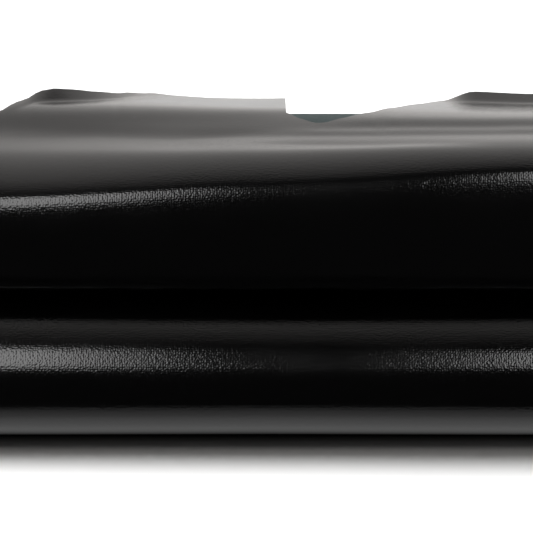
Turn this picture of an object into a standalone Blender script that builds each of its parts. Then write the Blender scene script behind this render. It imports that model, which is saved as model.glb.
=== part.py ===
"""A leather hide, loosely folded back and forth so that it lies in four layers.

The hide is one sheet. Seen from the side it is a walk: it starts flat on the surface, rounds
the low front fold, falls back to the surface, stands up in the back fold, comes forward over
the low fold, rounds the high front fold and runs back over the top to its free cut edge.
"""

import math

import bmesh
import bpy
import numpy as np

# Driving sizes, in metres
HIDE_WIDTH = 0.400
THICKNESS = 0.0013
BACK_FOLD_HEIGHT = 0.1219
SEAT_DEPTH = 0.0550
SEAT_HEIGHT = 0.0589
SIDE_STATION = 0.120

# The runs of the walk, in order. A row gives the run's length in millimetres and its turn in
# degrees at the left, middle and right of the hide, and how many faces long it is.
# A minus turn is towards the back of the hide on the way up, a plus turn the other way.
RUNS = (
    # name, (left, middle, right) length, (left, middle, right) turn, faces
    ("floor", (90.0, 90.0, 90.0), (0.0, 0.0, 0.0), 2),
    ("toe", (22.6, 23.4, 22.4), (-94.0, -94.0, -94.0), 8),
    ("shin", (18.4, 17.4, 19.2), (-33.0, -33.0, -33.0), 3),
    ("knee", (14.6, 14.4, 12.4), (-19.0, -19.0, -19.0), 2),
    ("shoulder", (14.2, 14.4, 15.6), (-5.5, -5.5, -5.5), 1),
    ("shelf", (15.0, 15.0, 15.0), (-12.5, -12.5, -12.5), 2),
    ("low crest", (22.0, 22.0, 22.0), (-29.0, -29.0, -29.0), 3),
    ("fall", (38.0, 38.0, 38.0), (-40.0, -42.0, -44.0), 4),
    ("slope", (30.0, 30.0, 30.0), (0.0, 0.0, 0.0), 1),
    ("landing", (42.0, 42.0, 42.0), (53.0, 55.0, 57.0), 4),
    ("rest", (16.0, 16.0, 16.0), (0.0, 0.0, 0.0), 2),
    ("back rise", (64.0, 68.0, 74.0), (90.0, 90.0, 90.0), 7),
    ("back wall", (16.0, 16.0, 16.0), (0.0, 0.0, 0.0), 1),
    ("back crest", (94.0, 90.0, 84.0), (90.0, 90.0, 90.0), 8),
    ("back slope", (36.0, 36.0, 36.0), (46.0, 46.0, 46.0), 4),
    ("tuck", (30.0, 30.0, 30.0), (0.0, 0.0, 0.0), 1),
    ("seat", (26.0, 26.0, 26.0), (-46.0, -46.0, -46.0), 4),
    ("nose", (19.0, 19.0, 19.0), (-31.0, -31.0, -31.0), 3),
    ("lip", (6.0, 6.0, 6.0), (-71.0, -71.0, -71.0), 6),
    ("face", (31.3, 38.4, 46.4), (-24.0, -24.0, -24.0), 5),
    ("brow", (8.2, 6.3, 4.3), (-19.0, -19.0, -19.0), 2),
    ("edge", (9.0, 9.6, 7.8), (-6.0, -6.0, -6.0), 1),
    ("rise", (9.5, 7.0, 5.0), (-4.0, -5.0, -4.0), 1),
    ("crown", (18.0, 11.0, 12.0), (-15.0, -21.0, -25.0), 3),
    ("ridge", (23.0, 22.0, 13.0), (0.0, 0.0, 0.0), 0),
    ("dip", (6.0, 9.0, 9.0), (9.0, 8.0, 11.0), 0),
    ("trough", (7.0, 13.0, 3.0), (0.0, 0.0, 0.0), 0),
    ("summit", (19.0, 24.0, 30.0), (-16.0, -14.0, -16.0), 0),
    ("over", (14.0, 14.0, 14.0), (-8.0, -3.0, -1.0), 0),
    ("behind", (90.0, 90.0, 90.0), (-1.0, -1.0, -1.0), 0),
)
NAMES = [name for name, _, _, _ in RUNS]

# The far cut edge seen from above: millimetres across, and millimetres back from the front.
# It steps forward at the notch, where the back fold shows.
STEP_ACROSS = 9.6
TAB_EDGE = (
    # across, back
    (-200.0, 127.0),
    (-131.0, 133.0),
    (-118.5, 146.5),
    (-112.0, 154.0),
    (-100.0, 156.0),
    (-87.5, 161.5),
    (-75.0, 174.0),
    (-69.0, 187.5),
    (-56.5, 200.0),
    (-30.0, 193.0),
    (9.6, 203.0),
)
NOTCH_EDGE = (
    # across, back
    (9.6, 138.5),
    (16.5, 128.8),
    (23.5, 123.2),
    (28.5, 123.3),
    (36.0, 128.0),
    (51.0, 138.0),
    (61.0, 150.0),
    (75.0, 173.5),
    (89.5, 196.0),
    (103.0, 197.0),
    (134.0, 187.0),
    (200.0, 182.0),
)

# Where the far edge is bent up: millimetres across, and degrees
CURLS = (
    # across, bend
    (-200.0, 3.0),
    (-126.0, 4.0),
    (-113.0, 16.0),
    (-101.0, 21.0),
    (-88.0, 19.0),
    (-62.0, 8.0),
    (-35.0, 1.0),
    (86.0, 1.0),
    (101.0, 24.0),
    (131.0, 22.0),
    (200.0, 18.0),
)
CURL_LENGTH = 12.0
CURL_CREASE = 4.0

# How finely the walk is stepped and rounded, and how the grid of faces is divided
WALK_STEP = 0.5
WALK_BLUR = 9
TOP_FACES = 16
TAB_FACES = 5
TAB_COLUMNS = 11
NOTCH_COLUMNS = 6
NOTCH_WIDTH = 50.0
RIGHT_COLUMNS = 8
MM = 0.001


def across(x, values):
    """Blends a left, middle and right value softly for the place x millimetres from the middle."""
    left, middle, right = values
    share = min(abs(x) * MM / SIDE_STATION, 1.0)
    share = (share + share * share * (3.0 - 2.0 * share)) / 2.0
    return middle + ((right if x > 0.0 else left) - middle) * share


def soft_table(table, x):
    """Reads a two-column table at x, with an eased passage from row to row."""
    keys = [key for key, _ in table]
    i = min(max(int(np.searchsorted(keys, x)) - 1, 0), len(table) - 2)
    (x0, low), (x1, high) = table[i], table[i + 1]
    share = min(max((x - x0) / (x1 - x0), 0.0), 1.0)
    return low + (high - low) * (share + share * share * (3.0 - 2.0 * share)) / 2.0


def walk(lengths, turns):
    """The walk at small steps: the distance in millimetres and the heading in radians there, and
    the distance at which each run ends. The turns are rounded off where one run meets the next."""
    ends = np.cumsum(lengths)
    distance = np.append(np.arange(0.0, ends[-1], WALK_STEP), ends[-1])
    turned = np.interp(distance, np.append(0.0, ends), np.append(0.0, np.cumsum(turns)))
    window = np.hanning(2 * WALK_BLUR + 1)[1:-1]
    padded = np.pad(turned, WALK_BLUR - 1, mode="edge")
    heading = np.radians(180.0 + np.convolve(padded, window / window.sum(), mode="valid"))
    return distance, heading, ends


def trace(distance, heading):
    """Depth and height along the walk, of the middle of the sheet's thickness."""
    middle = (heading[1:] + heading[:-1]) / 2.0
    steps = np.diff(distance)
    depth = np.append(0.0, np.cumsum(np.cos(middle) * steps))
    height = np.append(0.0, np.cumsum(np.sin(middle) * steps))
    return depth, height + THICKNESS / MM / 2.0


def section(x):
    """The walk at x, and its depth behind the front fold. The slope, rest, wall and tuck are made
    as long as it takes for the hide to meet the surface, to stand at its back height and to lie
    on the low fold."""
    lengths = np.array([across(x, length) for _, length, _, _ in RUNS])
    turns = np.array([across(x, turn) for _, _, turn, _ in RUNS])
    place = {name: i for i, name in enumerate(NAMES)}
    ground = THICKNESS / MM / 2.0
    for _ in range(3):
        distance, heading, ends = walk(lengths, turns)
        depth, height = trace(distance, heading)
        depth = depth - np.interp(ends[place["toe"]], distance, depth)

        def reached(name, line):
            return float(np.interp(ends[place[name]], distance, line))

        def direction(name):
            return math.radians(180.0 + turns[: place[name] + 1].sum())

        sink = ground - reached("landing", height)
        lift = BACK_FOLD_HEIGHT / MM - reached("back crest", height)
        settle = SEAT_HEIGHT / MM - reached("seat", height)
        slope_more = sink / math.sin(direction("slope"))
        tuck_more = (settle - lift) / math.sin(direction("tuck"))
        shift = slope_more * math.cos(direction("slope")) + tuck_more * math.cos(direction("tuck"))
        lengths[place["slope"]] += slope_more
        lengths[place["back wall"]] += lift - sink
        lengths[place["tuck"]] += tuck_more
        lengths[place["rest"]] += SEAT_DEPTH / MM - reached("seat", depth) - shift
    distance, heading, ends = walk(lengths, turns)
    depth, height = trace(distance, heading)
    return distance, heading, ends, depth - np.interp(ends[place["toe"]], distance, depth)


def edge_distance(distance, depth, start, back):
    """How far along the walk the top layer gets back to the given depth."""
    on_top = distance >= start
    return float(np.interp(back, depth[on_top], distance[on_top]))


def column(x, edge, tab_share):
    """The sheet's middle surface at x: points from the floor's free end to the far cut edge.
    A column of the tab ends in TAB_FACES more faces, which stand past the notch. They start at
    the tab_share of the way over the top."""
    distance, heading, ends, depth = section(x)
    stations = [0.0]
    begin = 0.0
    for (_, _, _, faces), end in zip(RUNS, ends):
        if faces:
            stations.extend(np.linspace(begin, end, faces + 1)[1:])
        begin = end
    start = ends[NAMES.index("crown")]
    cut = edge_distance(distance, depth, start, soft_table(edge, x))
    row = start + (cut - start) * tab_share
    stations.extend(np.linspace(start, row, TOP_FACES + 1)[1:])
    if tab_share < 1.0:
        stations.extend(np.linspace(row, cut, TAB_FACES + 1)[1:])
    curl = np.clip((distance - cut + CURL_LENGTH) / CURL_CREASE, 0.0, 1.0)
    heading = heading + math.radians(soft_table(CURLS, x)) * curl * curl * (3.0 - 2.0 * curl)
    depth, height = trace(distance, heading)
    depth = depth - np.interp(ends[NAMES.index("toe")], distance, depth)
    return [
        (x, float(np.interp(s, distance, depth)), float(np.interp(s, distance, height)))
        for s in stations
    ]


def notch_share():
    """How far over the top the notch's edge lies at the step, as a share of the tab's."""
    distance, _, ends, depth = section(STEP_ACROSS)
    start = ends[NAMES.index("crown")]
    far = edge_distance(distance, depth, start, TAB_EDGE[-1][1])
    near = edge_distance(distance, depth, start, NOTCH_EDGE[0][1])
    return (near - start) / (far - start)


def hide_columns():
    """The columns of the sheet from left to right, with the hide's depth centred."""
    half = HIDE_WIDTH / MM / 2.0
    share = notch_share()
    tab = np.linspace(-half, STEP_ACROSS, TAB_COLUMNS + 1)
    notch = np.linspace(STEP_ACROSS, NOTCH_WIDTH, NOTCH_COLUMNS + 1)[1:]
    right = np.linspace(NOTCH_WIDTH, half, RIGHT_COLUMNS + 1)[1:]
    columns = [column(x, TAB_EDGE, share) for x in tab]
    columns += [column(x, NOTCH_EDGE, 1.0) for x in np.append(notch, right)]
    depths = [y for points in columns for _, y, _ in points]
    middle = (min(depths) + max(depths)) / 2.0
    return [[(x * MM, (y - middle) * MM, z * MM) for x, y, z in points] for points in columns]


def hide_sheet():
    """The open middle surface of the hide, a grid of columns with the tab standing past it."""
    sheet = bmesh.new()
    grid = [[sheet.verts.new(point) for point in points] for points in hide_columns()]
    for left, right in zip(grid, grid[1:]):
        for i in range(min(len(left), len(right)) - 1):
            sheet.faces.new((left[i], right[i], right[i + 1], left[i + 1]))
    bmesh.ops.recalc_face_normals(sheet, faces=sheet.faces)
    return sheet


def leather():
    """Black, glossy leather."""
    material = bpy.data.materials.new("black leather")
    material.use_nodes = True
    surface = material.node_tree.nodes["Principled BSDF"]
    surface.inputs["Base Color"].default_value = (0.012, 0.012, 0.013, 1.0)
    surface.inputs["Roughness"].default_value = 0.32
    surface.inputs["Metallic"].default_value = 0.0
    return material


def hide():
    """The hide: its open sheet, given its thickness."""
    mesh = bpy.data.meshes.new("hide")
    sheet = hide_sheet()
    sheet.to_mesh(mesh)
    sheet.free()
    mesh.shade_smooth()
    mesh.materials.append(leather())
    piece = bpy.data.objects.new("hide", mesh)
    shell = piece.modifiers.new("thickness", "SOLIDIFY")
    shell.thickness = THICKNESS
    shell.offset = 0.0
    return piece


def main():
    for old in list(bpy.data.objects):
        bpy.data.objects.remove(old, do_unlink=True)
    collection = bpy.data.collections.new("folded leather hide")
    bpy.context.scene.collection.children.link(collection)
    collection.objects.link(hide())


main()
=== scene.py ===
# %% [markdown]
# # A folded leather hide
# This lesson builds one piece of black grained leather, 400 mm wide, that lies loosely folded
# back and forth. All of it is one sheet: a low fold in front, a back fold behind it, a high
# fold on top, and a top layer whose far edge was cut with a notch.
# An imported model of the same hide is loaded first. Its front fixes where the new sheet stands.

# %% Load the imported model
import math

import bpy
import numpy as np
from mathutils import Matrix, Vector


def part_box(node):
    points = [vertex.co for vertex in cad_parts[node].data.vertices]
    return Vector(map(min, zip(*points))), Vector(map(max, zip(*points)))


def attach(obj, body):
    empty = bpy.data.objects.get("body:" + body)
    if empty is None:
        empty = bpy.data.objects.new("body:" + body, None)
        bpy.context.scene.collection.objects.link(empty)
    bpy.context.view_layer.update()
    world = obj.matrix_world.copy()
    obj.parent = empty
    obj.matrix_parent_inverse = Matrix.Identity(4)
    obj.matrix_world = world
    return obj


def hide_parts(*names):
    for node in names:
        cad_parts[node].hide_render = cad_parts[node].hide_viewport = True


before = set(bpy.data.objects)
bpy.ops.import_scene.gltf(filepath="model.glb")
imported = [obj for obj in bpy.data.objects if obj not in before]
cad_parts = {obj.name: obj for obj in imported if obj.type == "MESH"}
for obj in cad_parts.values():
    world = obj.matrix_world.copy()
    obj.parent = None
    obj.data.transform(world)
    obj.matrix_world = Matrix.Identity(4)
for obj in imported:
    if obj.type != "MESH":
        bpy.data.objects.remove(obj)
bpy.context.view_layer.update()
hide_low, hide_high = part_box("hide")
MM = 0.001
print("packed hide, mm:", [round((b - a) / MM, 1) for a, b in zip(hide_low, hide_high)])

# %% [markdown]
# ## The camera
# The camera looks at the hide from a little above the table, with a long lens. A long lens far
# away keeps the folds' fronts nearly parallel, and a low angle makes the top layer thin and
# glossy. The lens is given in millimetres on a sensor 36 mm wide.

# %% Camera
CAMERA_PLACE = (0.0, -1.4558, 0.420)
CAMERA_PITCH = 76.0
CAMERA_LENS = 209.06

camera = bpy.data.objects.new("camera", bpy.data.cameras.new("camera"))
bpy.context.scene.collection.objects.link(camera)
camera.location = CAMERA_PLACE
camera.rotation_euler = (math.radians(CAMERA_PITCH), 0.0, 0.0)
camera.data.lens = CAMERA_LENS
camera.data.sensor_width = 36.0
bpy.context.scene.camera = camera
print("camera", CAMERA_PLACE, "lens", CAMERA_LENS, "mm")

# %% [markdown]
# ## The folds as a walk
# Leather bends but hardly stretches. So the fold is described as a walk along the sheet, seen
# from the side: each run has a length and a turn. A cloth simulation could fold a sheet too,
# but thick leather keeps rounder bends than simulated cloth, and the folds' places would be
# left to chance. With a walk each bend sits where it should, and the sheet's flat length is
# simply the sum of the runs. Every run may differ at the left, middle and right of the hide.

# %% Sizes and runs
THICKNESS = 1.3
HIDE_WIDTH = 400.0
BACK_FOLD_HEIGHT = 121.9
SEAT_DEPTH = 55.0
SEAT_HEIGHT = 58.9
SIDE_STATION = 120.0

RUNS = (
    # name, (left, middle, right) length in mm, (left, middle, right) turn in degrees, rows
    ("floor", (90.0, 90.0, 90.0), (0.0, 0.0, 0.0), 14),
    ("toe", (22.6, 23.4, 22.4), (-94.0, -94.0, -94.0), 18),
    ("shin", (18.4, 17.4, 19.2), (-33.0, -33.0, -33.0), 10),
    ("knee", (14.6, 14.4, 12.4), (-19.0, -19.0, -19.0), 9),
    ("shoulder", (14.2, 14.4, 15.6), (-5.5, -5.5, -5.5), 8),
    ("shelf", (15.0, 15.0, 15.0), (-12.5, -12.5, -12.5), 9),
    ("low crest", (22.0, 22.0, 22.0), (-29.0, -29.0, -29.0), 9),
    ("fall", (38.0, 38.0, 38.0), (-40.0, -42.0, -44.0), 10),
    ("slope", (30.0, 30.0, 30.0), (0.0, 0.0, 0.0), 4),
    ("landing", (42.0, 42.0, 42.0), (53.0, 55.0, 57.0), 9),
    ("rest", (16.0, 16.0, 16.0), (0.0, 0.0, 0.0), 3),
    ("back rise", (64.0, 68.0, 74.0), (90.0, 90.0, 90.0), 16),
    ("back wall", (16.0, 16.0, 16.0), (0.0, 0.0, 0.0), 5),
    ("back crest", (94.0, 90.0, 84.0), (90.0, 90.0, 90.0), 24),
    ("back slope", (36.0, 36.0, 36.0), (46.0, 46.0, 46.0), 7),
    ("tuck", (30.0, 30.0, 30.0), (0.0, 0.0, 0.0), 6),
    ("seat", (26.0, 26.0, 26.0), (-46.0, -46.0, -46.0), 8),
    ("nose", (19.0, 19.0, 19.0), (-31.0, -31.0, -31.0), 8),
    ("lip", (6.0, 6.0, 6.0), (-71.0, -71.0, -71.0), 12),
    ("face", (33.0, 39.8, 47.6), (-22.0, -22.0, -22.0), 18),
    ("brow", (6.2, 4.7, 3.0), (-21.0, -21.0, -21.0), 6),
    ("edge", (9.0, 9.6, 7.8), (-6.0, -6.0, -6.0), 6),
    ("rise", (9.5, 7.0, 5.0), (-4.0, -5.0, -4.0), 5),
    ("crown", (18.0, 11.0, 12.0), (-15.0, -21.0, -25.0), 10),
    ("ridge", (23.0, 22.0, 13.0), (0.0, 0.0, 0.0), 0),
    ("dip", (6.0, 9.0, 9.0), (9.0, 8.0, 11.0), 0),
    ("trough", (7.0, 13.0, 3.0), (0.0, 0.0, 0.0), 0),
    ("summit", (19.0, 24.0, 30.0), (-16.0, -14.0, -16.0), 0),
    ("over", (14.0, 14.0, 14.0), (-8.0, -3.0, -1.0), 0),
    ("behind", (90.0, 90.0, 90.0), (-1.0, -1.0, -1.0), 0),
)
NAMES = [row[0] for row in RUNS]
print(len(RUNS), "runs, about", sum(row[1][1] for row in RUNS), "mm of leather in the middle")

# %% [markdown]
# ## From turns to a line
# `walk` adds up the turns along the sheet and rounds them off where one run meets the next, as
# real leather does. `trace` then steps along the headings to find each point's depth and
# height. A few runs have to fit: the hide must meet the table, stand at its back height and
# lie on the low fold. `section` finds how long those runs are.

# %% Walk, trace and section
WALK_STEP = 0.5
WALK_BLUR = 9


def eased(share):
    """Half straight, half eased, so that a change across the hide has no hard start."""
    return (share + share * share * (3.0 - 2.0 * share)) / 2.0


def across(x, values):
    left, middle, right = values
    share = eased(min(abs(x) / SIDE_STATION, 1.0))
    return middle + ((right if x > 0.0 else left) - middle) * share


def walk(lengths, turns):
    ends = np.cumsum(lengths)
    distance = np.append(np.arange(0.0, ends[-1], WALK_STEP), ends[-1])
    turned = np.interp(distance, np.append(0.0, ends), np.append(0.0, np.cumsum(turns)))
    window = np.hanning(2 * WALK_BLUR + 1)[1:-1]
    padded = np.pad(turned, WALK_BLUR - 1, mode="edge")
    heading = np.radians(180.0 + np.convolve(padded, window / window.sum(), mode="valid"))
    return distance, heading, ends


def trace(distance, heading):
    middle = (heading[1:] + heading[:-1]) / 2.0
    steps = np.diff(distance)
    depth = np.append(0.0, np.cumsum(np.cos(middle) * steps))
    height = np.append(0.0, np.cumsum(np.sin(middle) * steps))
    return depth, height + THICKNESS / 2.0


def section(x):
    lengths = np.array([across(x, row[1]) for row in RUNS])
    turns = np.array([across(x, row[2]) for row in RUNS])
    place = {name: i for i, name in enumerate(NAMES)}
    for _ in range(3):
        distance, heading, ends = walk(lengths, turns)
        depth, height = trace(distance, heading)
        depth = depth - np.interp(ends[place["toe"]], distance, depth)

        def reached(name, line):
            return float(np.interp(ends[place[name]], distance, line))

        def direction(name):
            return math.radians(180.0 + turns[: place[name] + 1].sum())

        sink = THICKNESS / 2.0 - reached("landing", height)
        lift = BACK_FOLD_HEIGHT - reached("back crest", height)
        settle = SEAT_HEIGHT - reached("seat", height)
        slope_more = sink / math.sin(direction("slope"))
        tuck_more = (settle - lift) / math.sin(direction("tuck"))
        shift = slope_more * math.cos(direction("slope")) + tuck_more * math.cos(direction("tuck"))
        lengths[place["slope"]] += slope_more
        lengths[place["back wall"]] += lift - sink
        lengths[place["tuck"]] += tuck_more
        lengths[place["rest"]] += SEAT_DEPTH - reached("seat", depth) - shift
    distance, heading, ends = walk(lengths, turns)
    depth, height = trace(distance, heading)
    return distance, heading, ends, depth - np.interp(ends[place["toe"]], distance, depth)


for x in (-SIDE_STATION, 0.0, SIDE_STATION):
    print("at", x, "mm the walk is", round(section(x)[0][-1]), "mm long before it is cut")

# %% [markdown]
# ## The far cut edge
# The top layer ends in a knife cut. Its edge runs straight over the left half, steps forward in
# a notch where the back fold shows, and curls up at both sides where the leather springs back.
# The tables say how far back the edge lies and how far it is bent up, from left to right.

# %% Edge and curls
STEP_ACROSS = 9.6
TAB_EDGE = (
    # across, back
    (-200.0, 121.0),
    (-131.0, 125.0),
    (-120.0, 141.0),
    (-112.0, 152.0),
    (-100.0, 156.0),
    (-87.5, 161.5),
    (-75.0, 174.0),
    (-69.0, 187.5),
    (-56.5, 200.0),
    (-30.0, 193.0),
    (9.6, 203.0),
)
NOTCH_EDGE = (
    # across, back
    (9.6, 133.5),
    (16.5, 124.5),
    (23.5, 118.5),
    (28.5, 118.5),
    (36.0, 123.0),
    (51.0, 133.5),
    (61.0, 150.0),
    (75.0, 173.5),
    (89.5, 196.0),
    (103.0, 197.0),
    (134.0, 187.0),
    (200.0, 182.0),
)
CURLS = (
    # across, bend in degrees
    (-200.0, 0.0),
    (-128.0, 0.0),
    (-118.0, 8.0),
    (-111.0, 28.0),
    (-105.0, 35.0),
    (-97.0, 31.0),
    (-86.0, 22.0),
    (-75.0, 12.0),
    (-62.0, 4.0),
    (-48.0, 0.0),
    (90.0, 0.0),
    (105.0, 30.0),
    (131.0, 27.0),
    (200.0, 21.0),
)
CURL_LENGTH = 13.0
CURL_CREASE = 6.0


def soft_table(table, x):
    """Reads a table of two columns at x, eased from row to row."""
    keys = [key for key, _ in table]
    i = min(max(int(np.searchsorted(keys, x)) - 1, 0), len(table) - 2)
    (x0, low), (x1, high) = table[i], table[i + 1]
    return low + (high - low) * eased(min(max((x - x0) / (x1 - x0), 0.0), 1.0))


def edge_distance(distance, depth, start, back):
    """How far along the walk the top layer gets back to the given depth."""
    on_top = distance >= start
    return float(np.interp(back, depth[on_top], distance[on_top]))


def notch_share():
    """How far over the top the notch's edge lies at the step, as a share of the tab's."""
    distance, _, ends, depth = section(STEP_ACROSS)
    start = ends[NAMES.index("crown")]
    far = edge_distance(distance, depth, start, TAB_EDGE[-1][1])
    near = edge_distance(distance, depth, start, NOTCH_EDGE[0][1])
    return (near - start) / (far - start)


print("the notch is cut at", round(notch_share(), 3), "of the way over the top")

# %% [markdown]
# ## Soft creases
# The walk gives the big folds. A hide also carries soft troughs and ridges where it was rolled
# or pressed. Each row below is one of them on the top layer: a line across the hide, how high
# it stands (a trough has a minus height) and how wide it is in front of its line and behind.
# The sheet is moved along its own normal by the sum of these.

# %% Creases
CREASES = (
    # height, front width, rear width, fade (mm), ((across, back), ...)
    (-1.1, 15.0, 9.0, 60.0, ((-120.0, 101.0), (-84.0, 102.0), (-44.0, 99.0), (0.0, 105.0))),
    (-0.4, 12.0, 9.0, 60.0, ((-230.0, 101.0), (-110.0, 101.0))),
    (0.8, 10.0, 14.0, 60.0, ((-230.0, 128.0), (-110.0, 128.0), (-44.0, 133.0), (20.0, 138.0))),
    (-0.5, 7.0, 6.0, 40.0, ((-5.0, 89.0), (60.0, 81.0), (110.0, 74.0), (230.0, 74.0))),
    (0.35, 4.0, 4.0, 40.0, ((10.0, 108.0), (60.0, 103.0), (110.0, 98.0), (230.0, 98.0))),
    (-0.3, 4.0, 4.0, 40.0, ((40.0, 112.0), (110.0, 106.0), (230.0, 106.0))),
    (0.4, 6.0, 8.0, 40.0, ((40.0, 121.0), (110.0, 114.0), (230.0, 114.0))),
)


def crease_height(x, back):
    """The sum of the creases at a place on the top layer, in mm."""
    total = np.zeros_like(back)
    for height, front, rear, fade, line in CREASES:
        first, last = line[0][0], line[-1][0]
        inside = min(x - first, last - x) / fade + 0.5
        if inside <= 0.0:
            continue
        away = back - soft_table(line, x)
        width = np.where(away < 0.0, front, rear)
        total += height * eased(min(inside, 1.0)) * np.exp(-((away / width) ** 2))
    return total


# %% [markdown]
# ## The sheet
# The mesh is a grid. Its columns stand side by side across the hide, and each column follows
# the section at its place. Rows are close together where the folds show and wider apart where
# they don't. The tab on the left half has extra rows that stand past the notch.
# Each corner also gets its place on the flat hide as a UV map in metres, so that the leather's
# grain follows the sheet through every bend.

# %% Columns of points
TOP_ROWS = 54
TAB_ROWS = 40
TAB_COLUMNS = 73
RIGHT_COLUMNS = 67


def column(x, edge, tab_share):
    """Points of one column: across, depth, height and distance along the sheet, in mm."""
    distance, heading, ends, depth = section(x)
    stations = [0.0]
    begin = 0.0
    for (_, _, _, rows), end in zip(RUNS, ends):
        if rows:
            stations.extend(np.linspace(begin, end, rows + 1)[1:])
        begin = end
    start = ends[NAMES.index("crown")]
    cut = edge_distance(distance, depth, start, soft_table(edge, x))
    row = start + (cut - start) * tab_share
    stations.extend(np.linspace(start, row, TOP_ROWS + 1)[1:])
    if tab_share < 1.0:
        stations.extend(np.linspace(row, cut, TAB_ROWS + 1)[1:])
    curl = np.clip((distance - cut + CURL_LENGTH) / CURL_CREASE, 0.0, 1.0)
    heading = heading + math.radians(soft_table(CURLS, x)) * curl * curl * (3.0 - 2.0 * curl)
    depth, height = trace(distance, heading)
    depth = depth - np.interp(ends[NAMES.index("toe")], distance, depth)
    on_top = distance > ends[NAMES.index("face")]
    push = np.where(on_top, crease_height(x, depth), 0.0)
    depth = depth - np.sin(heading) * push
    height = height + np.cos(heading) * push
    return [
        (x, np.interp(s, distance, depth), np.interp(s, distance, height), s) for s in stations
    ]


share = notch_share()
tab_places = np.linspace(-HIDE_WIDTH / 2.0, STEP_ACROSS, TAB_COLUMNS + 1)
right_places = np.linspace(STEP_ACROSS, HIDE_WIDTH / 2.0, RIGHT_COLUMNS + 1)[1:]
columns = [column(x, TAB_EDGE, share) for x in tab_places]
columns += [column(x, NOTCH_EDGE, 1.0) for x in right_places]
print(len(columns), "columns of", len(columns[-1]), "to", len(columns[0]), "points")

# %% Points and faces into a mesh
front_of_hide = min(point[1] for points in columns for point in points)
shift = hide_low.y / MM + THICKNESS / 2.0 - front_of_hide
corners = []
flat_places = []
first_corner = []
for points in columns:
    first_corner.append(len(corners))
    for x, depth, height, along in points:
        corners.append((x * MM, (depth + shift) * MM, height * MM))
        flat_places.append((x * MM, along * MM))

faces = []
for i in range(len(columns) - 1):
    left, right = first_corner[i], first_corner[i + 1]
    for j in range(min(len(columns[i]), len(columns[i + 1])) - 1):
        faces.append((left + j, right + j, right + j + 1, left + j + 1))

mesh = bpy.data.meshes.new("leather_hide")
mesh.from_pydata(corners, [], faces)
flat_map = mesh.uv_layers.new(name="flat")
for loop in mesh.loops:
    flat_map.data[loop.index].uv = flat_places[loop.vertex_index]
leather_hide = bpy.data.objects.new("leather_hide", mesh)
bpy.context.scene.collection.objects.link(leather_hide)

# %% [markdown]
# ## Black grain leather
# The grain side is dyed black and finished with a thin gloss. Its colour is almost nothing:
# what the eye sees is the gloss. The grain is a net of fine wrinkles about 1.1 mm apart.
# A Voronoi texture gives its cells. Grain also runs in faint arcs, so a Gabor texture adds
# ridges that turn round a centre on the sheet, with some noise to make them wander. Both
# drive a Bump node. An image of leather could be used too, but nodes have no seam.


# %% Helpers for materials
def new_material(name):
    material = bpy.data.materials.new(name)
    material.use_nodes = True
    material.node_tree.nodes.clear()
    return material


def add_node(tree, kind, inputs=(), **settings):
    """Adds a node, sets its properties, then its inputs as values or links."""
    node = tree.nodes.new(kind)
    for name, value in settings.items():
        setattr(node, name, value)
    for name, value in dict(inputs).items():
        if isinstance(value, bpy.types.NodeSocket):
            tree.links.new(value, node.inputs[name])
        else:
            node.inputs[name].default_value = value
    return node


def flat_coordinates(tree):
    """The place on the flat hide, in metres."""
    return add_node(tree, "ShaderNodeUVMap", uv_map="flat").outputs[0]


# %% Grain side
GRAIN_PITCH = 1.1 * MM
GRAIN_DEPTH = 0.055 * MM
RIDGE_WAVES = 1.6
RIDGE_SHARE = 0.35
RIDGE_SWAY = 1.6
GRAIN_CENTRE_X = 29.0
GRAIN_CENTRE_BEHIND_BROW = 50.0
brow_end = section(0.0)[2][NAMES.index("brow")]
grain_centre = (GRAIN_CENTRE_X * MM, (brow_end + GRAIN_CENTRE_BEHIND_BROW) * MM, 0.0)

grain_side = new_material("black grain leather")
tree = grain_side.node_tree
place = flat_coordinates(tree)
from_centre = add_node(
    tree, "ShaderNodeVectorMath", {0: place, 1: grain_centre}, operation="SUBTRACT"
)
away = add_node(tree, "ShaderNodeSeparateXYZ", {0: from_centre.outputs[0]})
outward = add_node(
    tree, "ShaderNodeMath", {0: away.outputs["Y"], 1: away.outputs["X"]}, operation="ARCTAN2"
)
sway = add_node(
    tree, "ShaderNodeTexNoise", {"Vector": place, "Scale": 0.12 / GRAIN_PITCH, "Detail": 2.0}
)
turned = add_node(
    tree,
    "ShaderNodeMath",
    {0: sway.outputs["Fac"], 1: RIDGE_SWAY, 2: outward.outputs[0]},
    operation="MULTIPLY_ADD",
)
ridges = add_node(
    tree,
    "ShaderNodeTexGabor",
    {"Vector": place, "Scale": 1.0 / (GRAIN_PITCH * RIDGE_WAVES), "Frequency": RIDGE_WAVES,
     "Anisotropy": 0.9, 4: turned.outputs[0]},
    gabor_type="2D",
)
cells = add_node(
    tree,
    "ShaderNodeTexVoronoi",
    {"Vector": place, "Scale": 1.0 / GRAIN_PITCH, "Randomness": 0.6},
)
grain_height = add_node(
    tree,
    "ShaderNodeMath",
    {0: ridges.outputs["Value"], 1: RIDGE_SHARE, 2: cells.outputs["Distance"]},
    operation="MULTIPLY_ADD",
)
bump = add_node(
    tree,
    "ShaderNodeBump",
    {"Height": grain_height.outputs[0], "Strength": 1.0, "Distance": GRAIN_DEPTH},
)
patches = add_node(
    tree, "ShaderNodeTexNoise", {"Vector": place, "Scale": 22.0, "Detail": 3.0}
)
roughness = add_node(
    tree,
    "ShaderNodeMapRange",
    {"Value": patches.outputs["Fac"], "From Min": 0.3, "From Max": 0.7, "To Min": 0.12,
     "To Max": 0.15},
)
surface = add_node(
    tree,
    "ShaderNodeBsdfPrincipled",
    {"Base Color": (0.002, 0.002, 0.0022, 1.0), "Roughness": roughness.outputs[0],
     "IOR": 1.5, "Normal": bump.outputs[0]},
)
add_node(tree, "ShaderNodeOutputMaterial", {"Surface": surface.outputs[0]})

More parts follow.
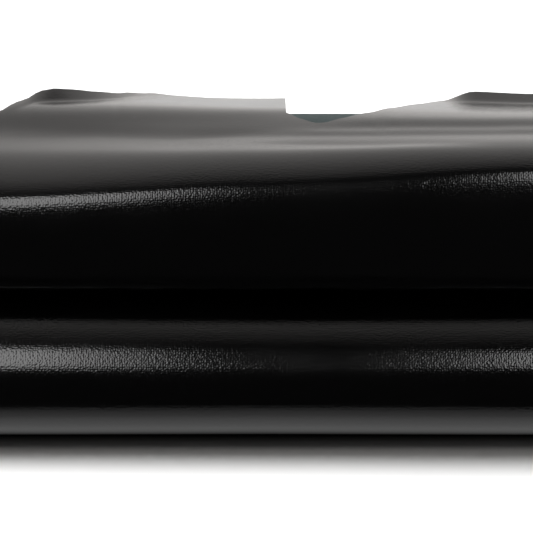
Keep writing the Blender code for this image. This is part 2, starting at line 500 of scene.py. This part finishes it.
# %% [markdown]
# ## Flesh side and cut edge
# The back of this hide is like suede: matt and fibrous, in dark teal. The cut edge shows raw
# fibres between the two sides. They are made a little paler than both.

# %% Flesh side
flesh_side = new_material("teal suede")
tree = flesh_side.node_tree
place = flat_coordinates(tree)
mottle = add_node(tree, "ShaderNodeTexNoise", {"Vector": place, "Scale": 60.0, "Detail": 4.0})
nap = add_node(
    tree, "ShaderNodeTexNoise", {"Vector": place, "Scale": 1500.0, "Detail": 4.0, "Roughness": 0.7}
)
teal = add_node(tree, "ShaderNodeValToRGB", {"Fac": mottle.outputs["Fac"]})
teal.color_ramp.elements[0].position = 0.35
teal.color_ramp.elements[0].color = (0.0125, 0.0235, 0.0240, 1.0)
teal.color_ramp.elements[1].position = 0.65
teal.color_ramp.elements[1].color = (0.0170, 0.0300, 0.0305, 1.0)
bump = add_node(
    tree,
    "ShaderNodeBump",
    {"Height": nap.outputs["Fac"], "Strength": 0.8, "Distance": 0.25 * MM},
)
surface = add_node(
    tree,
    "ShaderNodeBsdfPrincipled",
    {"Base Color": teal.outputs[0], "Roughness": 0.9, "Specular IOR Level": 0.2,
     "Sheen Weight": 0.15, "Sheen Roughness": 0.5, "Normal": bump.outputs[0]},
)
add_node(tree, "ShaderNodeOutputMaterial", {"Surface": surface.outputs[0]})

# %% Cut edge
cut_edge = new_material("raw cut edge")
tree = cut_edge.node_tree
place = flat_coordinates(tree)
fibres = add_node(
    tree, "ShaderNodeTexNoise", {"Vector": place, "Scale": 2200.0, "Detail": 3.0}
)
fibre_colour = add_node(tree, "ShaderNodeValToRGB", {"Fac": fibres.outputs["Fac"]})
fibre_colour.color_ramp.elements[0].position = 0.35
fibre_colour.color_ramp.elements[0].color = (0.050, 0.062, 0.060, 1.0)
fibre_colour.color_ramp.elements[1].position = 0.65
fibre_colour.color_ramp.elements[1].color = (0.110, 0.125, 0.120, 1.0)
bump = add_node(
    tree,
    "ShaderNodeBump",
    {"Height": fibres.outputs["Fac"], "Strength": 0.6, "Distance": 0.2 * MM},
)
surface = add_node(
    tree,
    "ShaderNodeBsdfPrincipled",
    {"Base Color": fibre_colour.outputs[0], "Roughness": 0.85, "Specular IOR Level": 0.3,
     "Normal": bump.outputs[0]},
)
add_node(tree, "ShaderNodeOutputMaterial", {"Surface": surface.outputs[0]})
print("materials:", ", ".join([grain_side.name, flesh_side.name, cut_edge.name]))

# %% [markdown]
# ## Thickness
# So far the sheet has no thickness. A Solidify modifier gives it 1.3 mm, half on each side.
# Its material offsets put suede on the back and raw fibre on the cut edge. It is applied, so
# that the finished piece is a plain mesh, and then shaded smooth except at its sharp edges.

# %% Solidify and smooth
for material in (grain_side, flesh_side, cut_edge):
    leather_hide.data.materials.append(material)
bpy.ops.object.select_all(action="DESELECT")
leather_hide.select_set(True)
bpy.context.view_layer.objects.active = leather_hide
shell = leather_hide.modifiers.new("thickness", "SOLIDIFY")
shell.thickness = THICKNESS * MM
shell.offset = 0.0
shell.material_offset = 1
shell.material_offset_rim = 2
bpy.ops.object.modifier_apply(modifier=shell.name)
bpy.ops.object.shade_smooth_by_angle(angle=math.radians(40.0))
triangles = sum(len(face.vertices) - 2 for face in leather_hide.data.polygons)
print("leather_hide:", triangles, "triangles")

# %% [markdown]
# ## Table and light
# Gloss only shows what it reflects, so black leather is lit by what stands around it. A bright
# wall behind gives the top layer its pale sheen. Three soft boxes overhead put the soft gleams
# on the front folds, and the side towards the camera is dark, which keeps the fronts black.
# A broad lamp behind lights the table and throws the soft shadow in front of the hide.
# Real lamps light everything. Here the work is split, so that each light can be set alone: the
# soft boxes are seen only in the gloss, and the broad lamp only lights what isn't gloss.

# %% Table
TABLE_SIZE = 9.0
bpy.ops.mesh.primitive_plane_add(size=TABLE_SIZE, location=(0.0, 0.0, 0.0))
table = bpy.context.active_object
table.name = "table"
# White paint to the camera; in the gloss a painted reflection and painted shade replace it.
white_table_with_painted_reflection = new_material("white table with painted reflection")
tree = white_table_with_painted_reflection.node_tree
surface = add_node(
    tree,
    "ShaderNodeBsdfPrincipled",
    {"Base Color": (0.86, 0.86, 0.86, 1.0), "Roughness": 0.7, "Specular IOR Level": 0.1},
)

# %% [markdown]
# ## The table's painted reflection
# To the camera the table is plain white paint. In the gloss it isn't: there a painted reflection,
# a glow whose brightness is set by place, stands in for the paint, and it was set until the gleam
# on the low fold's front looked right. Rays that come from above and behind the hide's front find
# it black, a painted shade that keeps the high fold's lower turn dark. No real table does this.
# For a plain one, link the paint straight to the output: a pale line then shows on the lower turn.

# %% The painted reflection: how bright the table looks in the gloss
TABLE_PAINTED_REFLECTION = (
    # metres behind the middle of the hide, brightness of the painted reflection
    (-0.40, 0.0),
    (-0.28, 0.10),
    (-0.205, 0.37),
    (-0.165, 0.46),
    (-0.129, 0.70),
    (-0.112, 1.30),
    (-0.104, 1.45),
    (-0.1015, 1.3),
    (-0.099, 0.5),
    (-0.096, 0.0),
    (0.115, 0.0),
    (0.135, 1.0),
    (0.20, 1.0),
)
PAINTED_REFLECTION_FULL = -0.095
PAINTED_REFLECTION_GONE = -0.080
TABLE_BEHIND_HIDE = 0.11


def ramp_of(tree, value, table, first, last, tint=(1.0, 1.0, 1.0)):
    """A ColorRamp that reads a table of two columns: a place and its brightness."""
    share = add_node(
        tree, "ShaderNodeMapRange", {"Value": value, "From Min": first, "From Max": last}
    )
    ramp = add_node(tree, "ShaderNodeValToRGB", {"Fac": share.outputs[0]})
    stops = ramp.color_ramp.elements
    for i, (place, _) in enumerate(table):
        stop = stops[i] if i < 2 else stops.new(1.0)
        stop.position = (place - first) / (last - first)
    for stop, (_, bright) in zip(stops, table):
        stop.color = (*(bright * part for part in tint), 1.0)
    return ramp.outputs[0]


where = add_node(tree, "ShaderNodeTexCoord")
parts = add_node(tree, "ShaderNodeSeparateXYZ", {0: where.outputs["Object"]})
# Painted reflection: a glow whose brightness is read by place from the table above.
painted_reflection_level = ramp_of(tree, parts.outputs["Y"], TABLE_PAINTED_REFLECTION, TABLE_PAINTED_REFLECTION[0][0], TABLE_PAINTED_REFLECTION[-1][0])
gleam = add_node(tree, "ShaderNodeEmission", {"Color": painted_reflection_level})
# Mask for the painted shade: rays that start above and behind the hide's front, found by place plus
# ray length, see black.
ray = add_node(tree, "ShaderNodeLightPath")
first_ray = add_node(
    tree, "ShaderNodeMath", {0: ray.outputs["Diffuse Depth"], 1: 0.5}, operation="LESS_THAN"
)
started = add_node(
    tree, "ShaderNodeMath", {0: parts.outputs["Y"], 1: ray.outputs["Ray Length"]}, operation="ADD"
)
near = add_node(
    tree,
    "ShaderNodeMapRange",
    {"Value": started.outputs[0], "From Min": PAINTED_REFLECTION_FULL, "From Max": PAINTED_REFLECTION_GONE,
     "To Min": 1.0, "To Max": 0.0},
)
behind = add_node(
    tree,
    "ShaderNodeMath",
    {0: parts.outputs["Y"], 1: TABLE_BEHIND_HIDE},
    operation="GREATER_THAN",
)
reached = add_node(
    tree, "ShaderNodeMath", {0: near.outputs[0], 1: behind.outputs[0]}, operation="MAXIMUM"
)
painted_reflection_share = add_node(
    tree, "ShaderNodeMath", {0: reached.outputs[0], 1: first_ray.outputs[0]}, operation="MULTIPLY"
)
# Painted shade: the black the table shows to those rays in the gloss.
dark = add_node(tree, "ShaderNodeEmission", {"Strength": 0.0})
painted_gloss_look = add_node(
    tree, "ShaderNodeMixShader", {0: painted_reflection_share.outputs[0], 1: dark.outputs[0], 2: gleam.outputs[0]}
)
# Camera and diffuse rays see the white paint; glossy rays see the painted reflection or painted
# shade.
whole = add_node(
    tree,
    "ShaderNodeMixShader",
    {0: ray.outputs["Is Glossy Ray"], 1: surface.outputs[0], 2: painted_gloss_look.outputs[0]},
)
add_node(tree, "ShaderNodeOutputMaterial", {"Surface": whole.outputs[0]})
table.data.materials.append(white_table_with_painted_reflection)

# %% [markdown]
# ## Lamps
# A rectangular area lamp is a soft box: the larger it is, the wider its gleam. Its radiance
# is multiplied by pi and its area to get the power that Blender asks for. A sun lamp
# with a wide angle makes a shadow that is sharp where the leather meets the table and soft
# further off.

# %% Soft boxes
SOFT_BOXES = (
    # name, left and right side, front and rear side, height in metres, radiance
    ("left soft box", (-0.90, -0.165), (-0.725, -0.15), 1.16, 4.8),
    ("left inner soft box", (-0.90, -0.135), (-0.725, -0.15), 1.16, 2.9),
    ("right soft box", (0.22, 0.90), (-0.76, -0.19), 1.16, 4.4),
)
for name, (x0, x1), (y0, y1), height, radiance in SOFT_BOXES:
    lamp = bpy.data.lights.new(name, "AREA")
    lamp.shape = "RECTANGLE"
    lamp.size = x1 - x0
    lamp.size_y = y1 - y0
    lamp.energy = radiance * math.pi * (x1 - x0) * (y1 - y0)
    box = bpy.data.objects.new(name, lamp)
    box.location = ((x0 + x1) / 2.0, (y0 + y1) / 2.0, height)
    box.visible_camera = False
    box.visible_diffuse = False
    bpy.context.scene.collection.objects.link(box)

# %% Broad lamp behind
LAMP_ELEVATION = 49.5
LAMP_WIDTH = 18.0
LAMP_STRENGTH = 6.3
lamp = bpy.data.lights.new("broad lamp", "SUN")
lamp.angle = math.radians(LAMP_WIDTH)
lamp.energy = LAMP_STRENGTH
broad_lamp = bpy.data.objects.new("broad lamp", lamp)
broad_lamp.rotation_euler = (math.radians(LAMP_ELEVATION - 90.0), 0.0, 0.0)
broad_lamp.visible_glossy = False
bpy.context.scene.collection.objects.link(broad_lamp)

# %% [markdown]
# ## The room
# The surroundings are a band of brightness that goes over the hide from front to back: dark
# in front, bright behind. The camera itself sees them as plain white.

# %% Bright wall behind, dark room in front
SURROUNDINGS = (
    # degrees up from the front, brightness (90 is overhead, 180 is level behind)
    (-180.0, 1.0),
    (-178.0, 0.0),
    (-2.0, 0.0),
    (0.0, 0.02),
    (96.0, 0.02),
    (100.0, 0.12),
    (104.0, 0.36),
    (108.0, 0.55),
    (114.0, 0.8),
    (120.0, 1.0),
    (180.0, 1.0),
)
world = bpy.data.worlds.new("studio")
world.use_nodes = True
bpy.context.scene.world = world
tree = world.node_tree
tree.nodes.clear()
direction = add_node(tree, "ShaderNodeTexCoord")
parts = add_node(tree, "ShaderNodeSeparateXYZ", {0: direction.outputs["Generated"]})
forward = add_node(tree, "ShaderNodeMath", {0: parts.outputs["Y"], 1: -1.0}, operation="MULTIPLY")
angle = add_node(
    tree, "ShaderNodeMath", {0: parts.outputs["Z"], 1: forward.outputs[0]}, operation="ARCTAN2"
)
STRAIGHT_BACK = 180.0
WALL_TINT = (1.0, 0.97, 0.945)
degrees = add_node(
    tree, "ShaderNodeMath", {0: angle.outputs[0], 1: STRAIGHT_BACK / math.pi}, operation="MULTIPLY"
)
around = ramp_of(
    tree, degrees.outputs[0], SURROUNDINGS, -STRAIGHT_BACK, STRAIGHT_BACK, WALL_TINT
)
ray = add_node(tree, "ShaderNodeLightPath")
seen = add_node(
    tree,
    "ShaderNodeMix",
    {0: ray.outputs["Is Camera Ray"], 6: around, 7: (1.0, 1.0, 1.0, 1.0)},
    data_type="RGBA",
)
background = add_node(tree, "ShaderNodeBackground", {"Color": seen.outputs[2]})
add_node(tree, "ShaderNodeOutputWorld", {"Surface": background.outputs[0]})
bpy.context.scene.view_settings.view_transform = "Standard"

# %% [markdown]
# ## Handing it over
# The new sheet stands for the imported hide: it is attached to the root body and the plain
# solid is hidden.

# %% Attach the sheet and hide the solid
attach(leather_hide, "root")
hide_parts("hide")
